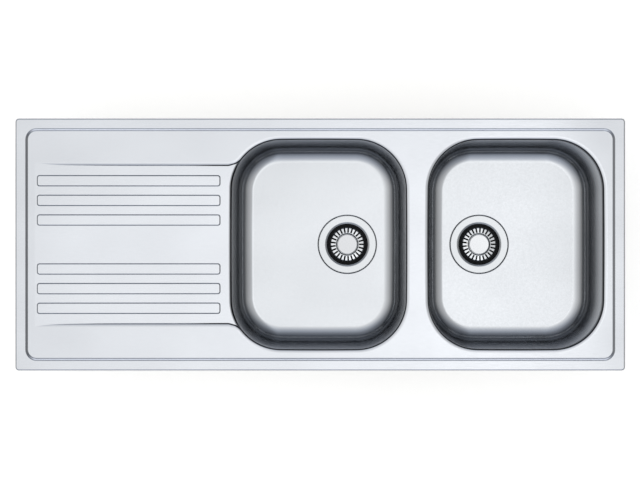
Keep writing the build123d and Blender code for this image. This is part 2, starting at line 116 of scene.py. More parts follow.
def join(patches):
    """Patches put together, with points that lie in one place made one and collapsed faces thinned. Points
    in one cell of a fine grid are one. The grid is shifted, so that round sizes don't lie on its lines."""
    points = np.concatenate([patch[0] for patch in patches])
    normals = np.concatenate([patch[1] for patch in patches])
    starts = np.cumsum([0] + [len(patch[0]) for patch in patches])
    key = np.floor(points / WELD_CELL + CELL_SHIFT).astype(np.int64)
    _, first, same = np.unique(key, axis=0, return_index=True, return_inverse=True)
    same = same.reshape(-1)
    faces = {3: [], 4: []}
    for patch, start in zip(patches, starts):
        corners = patch[2] + start
        if corners.shape[1] == 3:
            faces[3].append(corners)
            continue
        place = same[corners]
        twin = place == np.roll(place, -1, axis=1)
        faces[4].append(corners[~twin.any(axis=1)])
        thin = twin.sum(axis=1) == 1
        faces[3].append(corners[thin][~twin[thin]].reshape(-1, 3))
    faces = [np.concatenate(group) for group in faces.values() if group]
    return points[first], same, normals, faces


def sheet_mesh(name, patches, thickness=0.0):
    """A mesh object in metres from patches in millimetres. With a thickness, the back of the sheet lies
    that far behind every face that meets at a point, and a strip joins front and back at each free edge."""
    points, same, normals, faces = join(patches)
    corner_points = [same[group] for group in faces]
    corner_normals = [normals[group] for group in faces]
    if thickness:
        count = np.zeros(len(points))
        total = np.zeros((len(points), 3))
        for places, directions in zip(corner_points, corner_normals):
            np.add.at(count, places.ravel(), 1)
            np.add.at(total, places.ravel(), directions.reshape(-1, 3))
        reach = thickness * count / np.sum(total * total, axis=1)
        back = points - reach[:, None] * total
        edges = np.concatenate([
            np.stack([group, np.roll(group, -1, 1)], 2).reshape(-1, 2) for group in corner_points
        ])
        code = edges[:, 0] * len(points) + edges[:, 1]
        free = edges[~np.isin(code, edges[:, 1] * len(points) + edges[:, 0])]
        strip = np.column_stack([free[:, 1], free[:, 0], free[:, 0] + len(points), free[:, 1] + len(points)])
        points = np.concatenate([points, back])
        one, two, three, four = (points[strip[:, corner]] for corner in range(4))
        across = np.cross(three - one, four - two)
        across /= np.linalg.norm(across, axis=1)[:, None]
        for places, directions in list(zip(corner_points, corner_normals)):
            corner_points.append(places[:, ::-1] + len(back))
            corner_normals.append(-directions[:, ::-1])
        corner_points.append(strip)
        corner_normals.append(np.repeat(across[:, None], 4, axis=1))
    return mesh_object(name, points, corner_points, corner_normals)


def mesh_object(name, points, corner_points, corner_normals):
    """The object itself: all corners written at once, smooth, with the given normal at each corner."""
    mesh = bpy.data.meshes.new(name)
    totals = np.concatenate([np.full(len(group), group.shape[1]) for group in corner_points])
    corners = np.concatenate([group.ravel() for group in corner_points])
    mesh.vertices.add(len(points))
    mesh.vertices.foreach_set("co", (points * MM).astype(np.float32).ravel())
    mesh.loops.add(len(corners))
    mesh.loops.foreach_set("vertex_index", corners.astype(np.int32))
    mesh.polygons.add(len(totals))
    mesh.polygons.foreach_set("loop_start", (np.cumsum(totals) - totals).astype(np.int32))
    mesh.polygons.foreach_set("use_smooth", np.ones(len(totals), dtype=bool))
    mesh.update(calc_edges=True)
    directions = np.concatenate([group.reshape(-1, 3) for group in corner_normals])
    directions = directions / np.linalg.norm(directions, axis=1)[:, None]
    mesh.normals_split_custom_set(directions.tolist())
    obj = bpy.data.objects.new(name, mesh)
    bpy.context.scene.collection.objects.link(obj)
    print(name, len(points), "points,", int(np.sum(totals - 2)), "triangles")
    return obj


# %% [markdown]
# ## Profiles and paths
# A pressed edge is a folded profile carried along a path. The fold is drawn as a few corner points, each
# with its bend radius, as a sheet metal drawing gives it. A path is a chain of arcs, each with the way that
# points out of the opening, so that the same fold can follow a straight side, a corner or a flare.

# %% A folded profile
def folded(corners, radii, step=7.0):
    """Offsets, heights and normals along a polyline whose inner corners are rounded by tangent arcs.
    The normal is square to the travel, on its right: travel inwards faces up, travel down faces inwards."""
    corners = np.array(corners, dtype=float)
    ways = np.diff(corners, axis=0)
    ways /= np.linalg.norm(ways, axis=1)[:, None]
    spots, turns = [corners[0]], [ways[0]]
    for corner, radius, before, after in zip(corners[1:-1], radii, ways, ways[1:]):
        bend = np.arctan2(before[0] * after[1] - before[1] * after[0], before @ after)
        reach = radius * np.tan(abs(bend) / 2)
        centre_way = np.sign(bend) * np.array([-before[1], before[0]])
        centre = corner - reach * before + radius * centre_way
        swing = np.linspace(0, bend, max(3, int(np.ceil(abs(np.degrees(bend)) / step)) + 1))[:, None]
        way = np.cos(swing) * before + np.sin(swing) * np.array([-before[1], before[0]])
        spots.extend(centre - radius * np.sign(bend) * np.column_stack([-way[:, 1], way[:, 0]]))
        turns.extend(way)
    spots.append(corners[-1])
    turns.append(ways[-1])
    spots, turns = np.array(spots), np.array(turns)
    return spots[:, 0], spots[:, 1], np.column_stack([turns[:, 1], -turns[:, 0]])


def carried(path, sides, profile, closed=True, closed_profile=False, base=0.0):
    """A profile carried along a path: point (i, j) is path point j moved by offset i along its side way, at
    height i above the base. Its normal leans along the side way and up as the profile's does."""
    offsets, heights, facing = profile
    points = np.empty((len(offsets), len(path), 3))
    points[..., :2] = path + offsets[:, None, None] * sides
    points[..., 2] = heights[:, None] + base
    normals = np.empty_like(points)
    normals[..., :2] = facing[:, None, :1] * sides
    normals[..., 2] = facing[:, None, 1]
    return grid(points, normals, close_rows=closed_profile, close_columns=closed)


# %% Paths made of arcs
def arc(centre, radius, start, end, count, convex=True):
    """Points and side ways along an arc, by angle in degrees. The side way leaves the centre if convex."""
    angle = np.radians(np.linspace(start, end, count))
    way = np.column_stack([np.cos(angle), np.sin(angle)])
    return np.array(centre) + radius * way, way if convex else -way


def chain(*runs):
    """Runs of points and side ways put end to end, with each shared end kept once."""
    points = np.concatenate([run[0] for run in runs])
    sides = np.concatenate([run[1] for run in runs])
    gap = np.linalg.norm(points - np.roll(points, 1, axis=0), axis=1)
    return points[gap > 1e-6], sides[gap > 1e-6]


def round_rectangle(half_x, half_y, radius, centre=(0, 0), count=13):
    """Closed path of a rectangle with round corners, anticlockwise."""
    x, y = half_x - radius, half_y - radius
    quarters = [(x, y, 0), (-x, y, 90), (-x, -y, 180), (x, -y, 270)]
    return chain(*(
        arc((right + centre[0], up + centre[1]), radius, at, at + 90, count) for right, up, at in quarters
    ))


def circle(centre, radius, count):
    """Closed path of a circle, anticlockwise."""
    points, ways = arc(centre, radius, 0, 360, count + 1)
    return points[:-1], ways[:-1]


# %% [markdown]
# ## Sizes
# These are the sizes of the CAD model, in millimetres, repeated here because the skins are worked out from
# them. The origin is the middle of the sink on the worktop's top face, +X runs to the bowls and +Y to the
# back. Where the photo is finer than the solids, a size is tighter here: the rim's bend, the mouth's roll and
# the waste's throat with its ring.

# %% Sizes of the pressed top and the bowls
SHEET = 0.8
HALF_LENGTH, HALF_WIDTH = 580.0, 240.0
RIM_TOP, DECK, SKIRT_FOOT = 5.0, 1.0, 0.5
CORNER, EDGE_BEND = 7.0, 3.0
BORDER, STEP_CORNER, STEP_BEND = 19.5, 21.0, 3.0
BOWL_HALF_X, BOWL_HALF_Y, BOWL_CORNER, BOW = 167.0, 200.0, 95.0, 2.0
BOWL_X = {"left": -3.0, "right": 372.5}
DRAFT = np.radians(3.5)
RIM_REACH, RIM_SOFT_AT, RIM_SOFT_BEND, RIM_TILT, RIM_ROLL = 7.6, 5.2, 24.0, np.radians(11.0), 3.4
COLLAR_FOOT = -20.0
FLOOR, FLOOR_BEND = -154.0, 30.5
CHANNEL_START, CHANNEL_END, CHANNEL_HALF = -543.0, -170.0, 150.0
FALL = 7.0 / (CHANNEL_END - CHANNEL_START)
FLARE, MOUTH_ROLL = 38.0, 6.0
WASTE_X = {"left": 53.75, "right": 315.75}
SEAT_RADIUS, SEAT_DEPTH, WASTE_HOLE = 57.6, 3.0, 45.0


# %% The bowl's outline
def bowl_arcs():
    """Centres and radii of the outline about the bowl's own middle. Each side is an arc through its two
    ends and a middle that bows out by BOW. The corner arc touches two side arcs from inside, so its centre
    is one side radius less one corner radius from each side's centre, which three rounds settle."""
    end_x, end_y = BOWL_HALF_X - BOW, BOWL_HALF_Y - BOW
    end_radius = (end_y**2 + BOW**2) / (2 * BOW)
    side_radius = (end_x**2 + BOW**2) / (2 * BOW)
    x, y = BOWL_HALF_X - BOWL_CORNER, BOWL_HALF_Y - BOWL_CORNER
    for _ in range(3):
        x = np.sqrt((end_radius - BOWL_CORNER) ** 2 - y**2) - (end_radius - BOWL_HALF_X)
        y = np.sqrt((side_radius - BOWL_CORNER) ** 2 - x**2) - (side_radius - BOWL_HALF_Y)
    return end_radius, side_radius, x, y


END_RADIUS, SIDE_RADIUS, CORNER_X, CORNER_Y = bowl_arcs()
END_SWING = np.degrees(np.arctan2(CORNER_Y, CORNER_X + END_RADIUS - BOWL_HALF_X))
SIDE_SWING = np.degrees(np.arctan2(CORNER_X, CORNER_Y + SIDE_RADIUS - BOWL_HALF_Y))
print("corner arc centre", round(CORNER_X, 2), round(CORNER_Y, 2))


def bowl_path(x, corner_count=25, side_count=9):
    """Closed path of a bowl's opening at deck level, anticlockwise from the right-hand side's lower end."""
    runs = []
    for turn in range(4):
        along = turn % 2 == 0
        radius, reach = (END_RADIUS, BOWL_HALF_X) if along else (SIDE_RADIUS, BOWL_HALF_Y)
        swing, rest = (END_SWING, SIDE_SWING) if along else (SIDE_SWING, END_SWING)
        at = 90 * turn
        out = np.array([np.cos(np.radians(at)), np.sin(np.radians(at))]).round()
        runs.append(arc((reach - radius) * out, radius, at - swing, at + swing, side_count))
        corner = np.array([CORNER_X, CORNER_Y]) * [[1, 1], [-1, 1], [-1, -1], [1, -1]][turn]
        runs.append(arc(corner, BOWL_CORNER, at + swing, at + 90 - rest, corner_count))
    points, sides = chain(*runs)
    return points + [x, 0], sides


# %% [markdown]
# ## Pressed top: the border
# On the real sink the border is folded down at the edge, lies flat on top, then steps down to the deck at
# 45 degrees. A cube with bevels can't follow two different corner radii, so the border is three patches: the
# outer fold on a tight corner, the step on a wide one, and a flat band between them.

# %% The border
outer_path = round_rectangle(HALF_LENGTH, HALF_WIDTH, CORNER)
step_path = round_rectangle(HALF_LENGTH - BORDER, HALF_WIDTH - BORDER, STEP_CORNER)
outer_fold = folded([(0, SKIRT_FOOT), (0, RIM_TOP), (-EDGE_BEND, RIM_TOP)], [EDGE_BEND])
STEP, BESIDE_STEP = RIM_TOP - DECK, 2.0
step_fold = folded(
    [(BESIDE_STEP, RIM_TOP), (0, RIM_TOP), (-STEP, DECK), (-STEP - BESIDE_STEP, DECK)],
    [STEP_BEND, STEP_BEND], step=5,
)
border = [carried(*outer_path, outer_fold), carried(*step_path, step_fold)]
band = np.stack([outer_path[0] - EDGE_BEND * outer_path[1], step_path[0] + BESIDE_STEP * step_path[1]])
band = np.dstack([band, np.full(band.shape[:2], RIM_TOP)])
border.append(grid(band, np.broadcast_to([0.0, 0.0, 1.0], band.shape), close_columns=True))
deck_edge = step_path[0] - (STEP + BESIDE_STEP) * step_path[1]
print("border of", len(border), "patches, each with", len(deck_edge), "points round the sink")

# %% [markdown]
# ## Pressed top: the rim of a bowl
# Round each bowl the real sheet leaves the deck in a slow bend, turns down sharply and runs on as a short
# collar, to which the bowl is welded. The slow bend catches the bright panel and the sharp one the dark room,
# so both matter in a picture from above. They are one fold, which both bowls and the drainer's lips share.

# %% The rim's fold, and the rim of the right bowl
def wall_offset(height):
    """How far inside the opening's outline the drafted wall is at a height."""
    return -(DECK - height) * np.tan(DRAFT)


knee = DECK - RIM_SOFT_AT * np.tan(RIM_TILT)
rim_line = folded(
    [
        (RIM_REACH, DECK), (RIM_SOFT_AT, DECK), (wall_offset(knee), knee),
        (wall_offset(COLLAR_FOOT), COLLAR_FOOT),
    ],
    [RIM_SOFT_BEND, RIM_ROLL], step=0.5,
)
rim_way = np.append(0, np.cumsum(np.hypot(np.diff(rim_line[0]), np.diff(rim_line[1]))))


def lip_profile(travel):
    """Offset, height and facing of the rim after some travel down from the deck. A slow bend leaves the
    deck, a tight one turns down into the drafted wall."""
    offset, height = (np.interp(travel, rim_way, line) for line in rim_line[:2])
    return offset, height, np.stack([np.interp(travel, rim_way, part) for part in rim_line[2].T], axis=-1)


ROW_TILTS = np.r_[0:10:5j, 11:86:15j, 87:88:2j]
rim_tilt = np.degrees(np.arctan2(-rim_line[2][:, 0], rim_line[2][:, 1]))
rim_rows = np.interp(ROW_TILTS, rim_tilt + 1e-3 * rim_way, rim_way)
right_path = bowl_path(BOWL_X["right"])
right_rim = carried(*right_path, lip_profile(np.unique(np.append(rim_rows, [0.0, rim_way[-1]]))))
right_edge = right_path[0] + RIM_REACH * right_path[1]
print("rim fold of", round(float(rim_way[-1]), 1), "mm from the deck to the collar's foot")

# %% [markdown]
# ## Pressed top: the drainer's channel and its mouth
# The channel is a plane that falls 7 mm towards the left bowl, between two rolled lips, and it rolls over
# into the bowl. Its lips flare out into the bowl's rim. The lips are the same roll as the bowl's rim, but
# each stops where it meets the sloping floor, so the place where they meet is found first, column by column,
# and both patches are made to end on it.

# %% The path of the left opening
def channel_floor(x):
    """Height of the channel's plane at x."""
    return DECK - FALL * (x - CHANNEL_START)


corner_centre = np.array([BOWL_X["left"] - CORNER_X, CORNER_Y])
flare_y = CHANNEL_HALF + FLARE
flare_x = corner_centre[0] - np.sqrt((BOWL_CORNER + FLARE) ** 2 - (flare_y - corner_centre[1]) ** 2)
flare_end = np.degrees(np.arctan2(corner_centre[1] - flare_y, corner_centre[0] - flare_x))
touch_angle = flare_end + 180
print("flare from x", round(flare_x, 2), "to the corner arc at", round(touch_angle, 2), "degrees")


def lip_path(along):
    """Point and side way on the back lip: a straight side for along below 0, in mm back from the flare,
    then the flare by its angle in degrees from 0 at the side to its full swing at the bowl's corner."""
    angle = np.radians(-90 + np.maximum(along, 0))
    ways = np.column_stack([-np.cos(angle), -np.sin(angle)])
    points = np.array([flare_x, flare_y]) - FLARE * ways
    points[:, 0] += np.minimum(along, 0)
    return points, ways


# %% Where a lip meets the channel's floor
MOUTH_DROP = MOUTH_ROLL * (1 - np.sin(DRAFT))


def mouth_floor(points):
    """Height of the channel's floor, rolled over into the bowl's corner. The roll is an arc whose foot
    touches the bowl's drafted wall."""
    plane = channel_floor(points[..., 0])
    outside = np.linalg.norm(points - corner_centre, axis=-1) - BOWL_CORNER
    foot = wall_offset(plane - MOUTH_DROP)
    sine = np.clip((foot + MOUTH_ROLL * np.cos(DRAFT) - outside) / MOUTH_ROLL, 0, np.cos(DRAFT))
    beyond = np.maximum(foot - outside, 0) / np.tan(DRAFT)
    return plane - MOUTH_ROLL * (1 - np.sqrt(1 - sine**2)) - beyond, np.degrees(np.arcsin(sine)), outside


def meeting(along):
    """Travel down the lip to the floor, found by halving the gap forty times."""
    path, ways = lip_path(along)
    low, high = np.zeros(len(along)), np.full(len(along), rim_way[-1])
    for _ in range(40):
        middle = (low + high) / 2
        offset, height, _ = lip_profile(middle)
        above = height > mouth_floor(path + offset[:, None] * ways)[0]
        low, high = np.where(above, middle, low), np.where(above, high, middle)
    return low


# %% Columns of the lip, closer where the floor turns
swing = flare_end + 90
dense = np.linspace(0, swing - 1e-3, 2000)  # the columns are picked from these
path, ways = lip_path(dense)
spot = path + lip_profile(meeting(dense))[0][:, None] * ways
_, roll_angle, outside = mouth_floor(spot)
WEB_END = 14.0
web_end = np.interp(-WEB_END, -outside, dense)
roll_start = dense[np.argmax(roll_angle > 0.01)]  # the first one on the roll
roll_steps = np.linspace(0, np.degrees(np.pi / 2 - DRAFT), 15)[1:-1]
rolled = np.interp(roll_steps, roll_angle, dense)
channel_length = flare_x - CHANNEL_START
side_run = -channel_length * (1 - np.linspace(0, 1, 29) ** 2)
lip_columns = np.concatenate(
    [side_run, np.linspace(0, web_end, 4)[1:], [roll_start], rolled, [swing]]
)
web_columns = len(side_run) + 3
print(len(lip_columns), "lip columns, web ends at", round(float(web_end), 2), "degrees of the flare")

# %% The lips
lip_way, lip_side = lip_path(lip_columns)
full_drop = channel_floor(corner_centre[0] + BOWL_CORNER * np.cos(np.radians(touch_angle))) - MOUTH_DROP
touch_travel = np.interp(-full_drop, -rim_line[1], rim_way)
lip_travel = meeting(lip_columns)
lip_travel[0], lip_travel[-1] = 0.0, touch_travel
LIP_ROWS = np.r_[0:0.2:5j, 0.22:0.45:13j, 0.5:1:9j]
offset, height, facing = lip_profile(LIP_ROWS[:, None] * lip_travel)
lip_points = np.dstack([lip_way + offset[..., None] * lip_side, height])
lip_normals = np.concatenate([facing[..., :1] * lip_side, facing[..., 1:]], axis=-1)
MIRROR = np.array([1.0, -1.0, 1.0])  # the front lip is the back one's mirror image
lips = [grid(lip_points, lip_normals), grid(lip_points * MIRROR, lip_normals * MIRROR)]
crease = lip_points[-1]
print("lips of", lip_points.shape[0], "rows by", lip_points.shape[1], "columns")

# %% The rest of the left bowl's rim
rim_travel = np.concatenate([LIP_ROWS * touch_travel, np.linspace(touch_travel, rim_way[-1], 3)[1:]])
left_points, left_sides = bowl_path(BOWL_X["left"])
bearing = np.arctan2(left_points[:, 1], left_points[:, 0] - BOWL_X["left"])
touch_point, touch_side = arc(corner_centre, BOWL_CORNER, touch_angle, touch_angle, 1)
limit = np.arctan2(touch_point[0, 1], touch_point[0, 0] - BOWL_X["left"])
order = np.argsort(bearing)
TOUCH_GAP = 0.004  # radians, so that no point of the outline crowds the one where the lip ends
kept = order[np.abs(bearing[order]) < limit - TOUCH_GAP]
mouth_path = np.concatenate([touch_point * [1, -1], left_points[kept], touch_point])
mouth_side = np.concatenate([touch_side * [1, -1], left_sides[kept], touch_side])
left_rim = carried(mouth_path, mouth_side, lip_profile(rim_travel), closed=False)
left_edge = np.concatenate([
    (lip_points[0] * MIRROR)[:-1, :2],
    mouth_path + RIM_REACH * mouth_side,
    lip_points[0, ::-1, :2][1:],
])
print(len(left_edge), "points on the left opening's edge")

# %% The channel's roll into the bowl
HALF_SPAN = END_RADIUS * np.radians(END_SWING)


def bowl_end(travel):
    """Point and side way on the left bowl's outline, by travel in mm from the middle of its left-hand end."""
    size = np.abs(travel)
    along = np.minimum(size, HALF_SPAN) / END_RADIUS
    round_on = np.maximum(size - HALF_SPAN, 0) / BOWL_CORNER + np.radians(END_SWING)
    angle = np.where(size < HALF_SPAN, along, round_on)
    ways = np.stack([-np.cos(angle), np.sin(angle)], axis=-1)
    end_centre = np.array([BOWL_X["left"] - BOWL_HALF_X + END_RADIUS, 0.0])
    on_end = end_centre + END_RADIUS * ways
    on_corner = corner_centre + BOWL_CORNER * ways
    points = np.where((size < HALF_SPAN)[..., None], on_end, on_corner)
    flip = np.stack([np.ones_like(size), np.where(travel < 0, -1.0, 1.0)], axis=-1)
    return points * flip, ways * flip


# %% Rows of the roll, from the channel's floor down to the bowl's wall
row_crease = crease[web_columns - 1:]
foot_angle = np.pi - np.arctan2(row_crease[:, 1] - corner_centre[1], row_crease[:, 0] - corner_centre[0])
row_reach = HALF_SPAN + BOWL_CORNER * (foot_angle - np.radians(END_SWING))
row_outside = np.linalg.norm(row_crease[:, :2] - corner_centre, axis=1) - BOWL_CORNER
ACROSS = np.linspace(-1, 1, 61)
end_points, end_ways = bowl_end(row_reach[:, None] * ACROSS)
row_angle = np.radians(np.concatenate([[0, 0], roll_steps, [np.degrees(np.pi / 2 - DRAFT)]]))
foot_x = end_points[..., 0]
for _ in range(3):
    foot_offset = wall_offset(channel_floor(foot_x) - MOUTH_DROP)
    foot_x = end_points[..., 0] + foot_offset * end_ways[..., 0]
roll_offset = foot_offset + MOUTH_ROLL * (np.cos(DRAFT) - np.sin(row_angle))[:, None]
roll_offset[0] = row_outside[0]
roll_spots = end_points + roll_offset[..., None] * end_ways
roll_height = channel_floor(roll_spots[..., 0]) - MOUTH_ROLL * (1 - np.cos(row_angle))[:, None]
roll_points = np.dstack([roll_spots, roll_height])
roll_points[:, -1] = row_crease
roll_points[:, 0] = row_crease * MIRROR
tilt = np.cos(row_angle)[:, None, None] * np.array([FALL, 0.0])
roll_normals = np.concatenate([
    -np.sin(row_angle)[:, None, None] * end_ways + tilt,
    np.broadcast_to(np.cos(row_angle)[:, None, None], end_ways.shape[:2] + (1,)),
], axis=-1)
channel_roll = grid(roll_points, roll_normals)
print("roll of", roll_points.shape[0], "rows by", roll_points.shape[1], "columns")

# %% The wall under the mouth, down to the collar's foot
wall_levels = np.linspace(0, 1, 3)[:, None]
wall_height = roll_points[-1, :, 2] + wall_levels * (COLLAR_FOOT - roll_points[-1, :, 2])
wall_spots = end_points[-1] + wall_offset(wall_height)[..., None] * end_ways[-1]
wall_spots[0] = roll_points[-1, :, :2]
wall_points = np.dstack([wall_spots, wall_height])
wall_normals = np.concatenate([
    np.broadcast_to(-np.cos(DRAFT) * end_ways[-1], wall_spots.shape),
    np.full(wall_spots.shape[:2] + (1,), np.sin(DRAFT)),
], axis=-1)
mouth_wall = grid(wall_points, wall_normals)

# %% [markdown]
# ## Pressed top: the ribs
# Six long raised ribs carry dishes and let water run between them. Each is a low plateau with flanks at 55
# degrees. A press can't make a sharp bend, so each flank blends in with small radii at its foot and its top,
# which draw the thin grey line round each rib.

# %% The ribs
RIB_HALF_X, RIB_HALF_Y, RIB_CORNER, RIB_HEIGHT, RIB_FLANK = 174.25, 10.5, 5.0, 2.0, np.radians(55)
RIB_END_GAP, GROUP_Y, RIB_PITCH = 20.5, 84.0, 37.4
RIB_X = CHANNEL_END - RIB_END_GAP - RIB_HALF_X
RIB_Y = [side * GROUP_Y + RIB_PITCH * place for side in (-1, 1) for place in (-1, 0, 1)]
rib_run = RIB_HEIGHT / np.tan(RIB_FLANK)
RIB_BEND, RIB_EDGE = 1.2, 0.9
rib_fold = folded(
    [(RIB_EDGE, 0), (0, 0), (-rib_run, RIB_HEIGHT), (-rib_run - RIB_EDGE, RIB_HEIGHT)],
    [RIB_BEND, RIB_BEND], step=11,
)
ribs, rib_holes = [], []
slope_normal = np.array([FALL, 0.0, 1.0])
for rib_y in RIB_Y:
    path, sides = round_rectangle(RIB_HALF_X, RIB_HALF_Y, RIB_CORNER, (RIB_X, rib_y), count=9)
    points, normals, faces = carried(path, sides, rib_fold)
    points[:, 2] += channel_floor(points[:, 0])
    normals = normals + np.outer(normals[:, 2], [FALL, 0, 0])
    ribs.append((points, normals, faces))
    rib_holes.append(path + RIB_EDGE * sides)
    top_edge = path - (rib_run + RIB_EDGE) * sides
    ribs.append(web(top_edge, [], lambda x: channel_floor(x) + RIB_HEIGHT, slope_normal))
print(len(RIB_Y), "ribs on the channel")

# %% [markdown]
# ## Pressed top: the flats, and the sheet as a whole
# What is left of the real sheet is flat: the deck and the channel's sloping floor. Each is one web between
# the edges that are already there, so that it shares every point with its neighbours and the sheet closes.

# %% The flats: the channel's floor and the deck
floor_outline = np.concatenate([
    crease[:web_columns, :2] * [1, -1],
    roll_points[0, 1:-1, :2],
    crease[:web_columns, :2][::-1],
])
channel_web = web(floor_outline, rib_holes, channel_floor, slope_normal)
deck_web = web(deck_edge, [left_edge, right_edge], lambda x: np.full_like(x, DECK))
print(len(channel_web[2]), "triangles in the channel's floor,", len(deck_web[2]), "in the deck")

# %% The pressed top as one sheet
top_patches = border + [right_rim, left_rim, channel_roll, mouth_wall, channel_web, deck_web] + lips + ribs
pressed_top = sheet_mesh("pressed_top", top_patches, SHEET)
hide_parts("sink_top")
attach(pressed_top, "sink")

# %% [markdown]
# ## The painted dark line round each opening
# In the photo a fine black line follows each opening, where the sharp bend of the rim shows the darkest part
# of the room. It is finer than a pixel, and noise from few samples would wash it out, so the sharply leaning
# corners of the mesh are marked and a painted dark reflection is put on the steel there.

# %% The painted dark line in the rims' bend
LINE_TILTS, LINE_DEPTHS, LINE_ALONG = (20.0, 35.0), (-7.5, -4.5), (-260.0, -200.0)
LINE_TOP, LINE_START = DECK + 0.1, CHANNEL_END - 2.0
LIP_BAND, MOUTH_LENGTH = (CHANNEL_HALF - 10.0, CHANNEL_HALF + 15.0), 35.0


def rise(value, start, end):
    """0 before start, 1 after end and a straight rise between them."""
    return np.clip((value - start) / (end - start), 0, 1)


mesh = pressed_top.data
spots, facing = np.empty(len(mesh.vertices) * 3), np.empty(len(mesh.loops) * 3)
corner_point = np.empty(len(mesh.loops), dtype=np.int32)
mesh.vertices.foreach_get("co", spots)
mesh.loops.foreach_get("vertex_index", corner_point)
mesh.corner_normals.foreach_get("vector", facing)
x, y, z = spots.reshape(-1, 3)[corner_point].T / MM
tilt = np.degrees(np.arccos(np.clip(np.abs(facing.reshape(-1, 3)[:, 2]), 0, 1)))
by_bowl = np.where(x > LINE_START, 1.0, rise(x, *LINE_ALONG) * (np.abs(y) > LIP_BAND[0]))
in_mouth = (x < CHANNEL_END + MOUTH_LENGTH) * (1 - rise(np.abs(y), *LIP_BAND))
below = z - DECK - (channel_floor(x) - DECK) * in_mouth
painted_rim_shade = rise(tilt, *LINE_TILTS) * rise(below, *LINE_DEPTHS) * (z < LINE_TOP) * by_bowl
# painted reflection: where this mask is 1 the steel is painted near-black, for the dark room seen in the bend
painted_rim_shade_values = mesh.attributes.new("rim_line", "FLOAT", "CORNER")
painted_rim_shade_values.data.foreach_set("value", painted_rim_shade.astype(np.float32))
print(int(np.sum(painted_rim_shade > 0.5)), "corners in the dark line")

# %% [markdown]
# ## Bowls
# A deep-drawn bowl is one smooth skin: a drafted wall under the collar, a wide bend, a flat floor and a round
# seat pressed in for the waste. The wall and the bend are one fold carried round the bowl's outline.

# %% The bowls
SEAT_EDGE, SEAT_BEND, SEAT_FOOT_BEND, BESIDE_BEND, ROUND_STEPS = 2.4, 2.0, 0.6, 1.0, 96


def level(height):
    """A height function that is the same everywhere."""
    return lambda x: np.full_like(x, height)


def bowl_patches(x, waste_x):
    """The bowl's inner face from the collar's foot to the waste hole."""
    path, sides = bowl_path(x, corner_count=33, side_count=13)
    floor_edge = wall_offset(FLOOR) - FLOOR_BEND * np.tan((np.pi / 2 - DRAFT) / 2) - BESIDE_BEND
    wall = folded(
        [(wall_offset(COLLAR_FOOT), COLLAR_FOOT), (wall_offset(FLOOR), FLOOR), (floor_edge, FLOOR)],
        [FLOOR_BEND], step=4,
    )
    seat_path, seat_sides = circle((waste_x, 0), SEAT_RADIUS, ROUND_STEPS)
    seat = folded(
        [
            (SEAT_EDGE, FLOOR), (0, FLOOR), (0, FLOOR - SEAT_DEPTH),
            (WASTE_HOLE - SEAT_RADIUS, FLOOR - SEAT_DEPTH),
        ],
        [SEAT_BEND, SEAT_FOOT_BEND], step=15,
    )
    floor = web(path + floor_edge * sides, [seat_path + SEAT_EDGE * seat_sides], level(FLOOR))
    return [carried(path, sides, wall), carried(seat_path, seat_sides, seat), floor]


for side in ("left", "right"):
    shell = sheet_mesh(f"{side}_bowl_shell", bowl_patches(BOWL_X[side], WASTE_X[side]), SHEET)
    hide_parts(f"{side}_bowl")
    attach(shell, "sink")

# %% [markdown]
# ## Wastes: the cups
# Each waste is turned about one centre line, so its parts are folds carried round circles. The real cup is
# drawn and buffed: a wide bright flange, a small cone, the throat that holds the strainer's ring, a ledge
# under it and a holed bottom. The holes are part of the flat bottom's web, so nothing has to be cut.

# %% The waste cups
THROAT, CUP_FLANGE, CUP_LEDGE, CUP_SHEET = 40.7, 56.8, 38.6, 1.2
CUP_CONE, CUP_CONE_DROP = 3.4, 1.6
LEDGE_DEPTH, CUP_DEPTH, CUP_BOTTOM = 14.0, 36.0, 33.0
FLANGE_EDGE, FLANGE_DROP, CUP_BENDS = 0.5, 0.45, [0.4, 4.0, 0.7, 0.8, 2.0, 4.0]
CUP_HOLES, HOLE_CIRCLE, HOLE, SCREW_HOLE = 8, 24.0, 6.5, 4.3


def cup_patches(x):
    """Flange, throat, ledge and lower wall as one fold about the axis, then the holed bottom."""
    path, sides = circle((x, 0), THROAT, ROUND_STEPS)
    fold = folded(
        [
            (CUP_FLANGE - THROAT, -FLANGE_DROP), (CUP_FLANGE - THROAT - FLANGE_EDGE, 0),
            (CUP_CONE, 0), (0, -CUP_CONE_DROP), (0, -LEDGE_DEPTH), (CUP_LEDGE - THROAT, -LEDGE_DEPTH),
            (CUP_LEDGE - THROAT, -CUP_DEPTH), (CUP_BOTTOM - THROAT, -CUP_DEPTH),
        ],
        CUP_BENDS, step=8,
    )
    turns = np.arange(CUP_HOLES) * 2 * np.pi / CUP_HOLES
    centres = HOLE_CIRCLE * np.column_stack([np.cos(turns), np.sin(turns)]) + [x, 0]
    holes = [circle(centre, HOLE, 28)[0] for centre in centres] + [circle((x, 0), SCREW_HOLE, 20)[0]]
    bottom_edge = path + (CUP_BOTTOM - THROAT) * sides
    return [carried(path, sides, fold, base=FLOOR), web(bottom_edge, holes, level(FLOOR - CUP_DEPTH))]


# %% [markdown]
# ## Wastes: the strainers
# The real strainer is one pressing: a dish in the middle, a shoulder, and 25 slots between them that run down
# over the shoulder. Cutting slots out of a dome would leave ragged edges, so the dome is built as 25 bars
# between two whole rings, all with the dome's own fold. Its rubber ring seals it in the throat, and the cap
# that stands in the dish is its handle.

# %% The strainer domes
PIN_HOLE, DOME, DOME_SHEET, SHOULDER, DOME_DEPTH = 3.15, 34.0, 1.0, 3.0, 26.0
DISH, DISH_FLARE, DISH_DEPTH, DISH_BENDS = 22.3, 2.1, 4.6, [1.2, 0.6]
SHOULDER_DEPTH, DISH_TOP, ROW_GAP = 2.0, 1.0, 0.05
SLOTS, SLOT_HALF, SLOT_START, SLOT_DEPTH = 25, 1.65, 23.2, 7.0


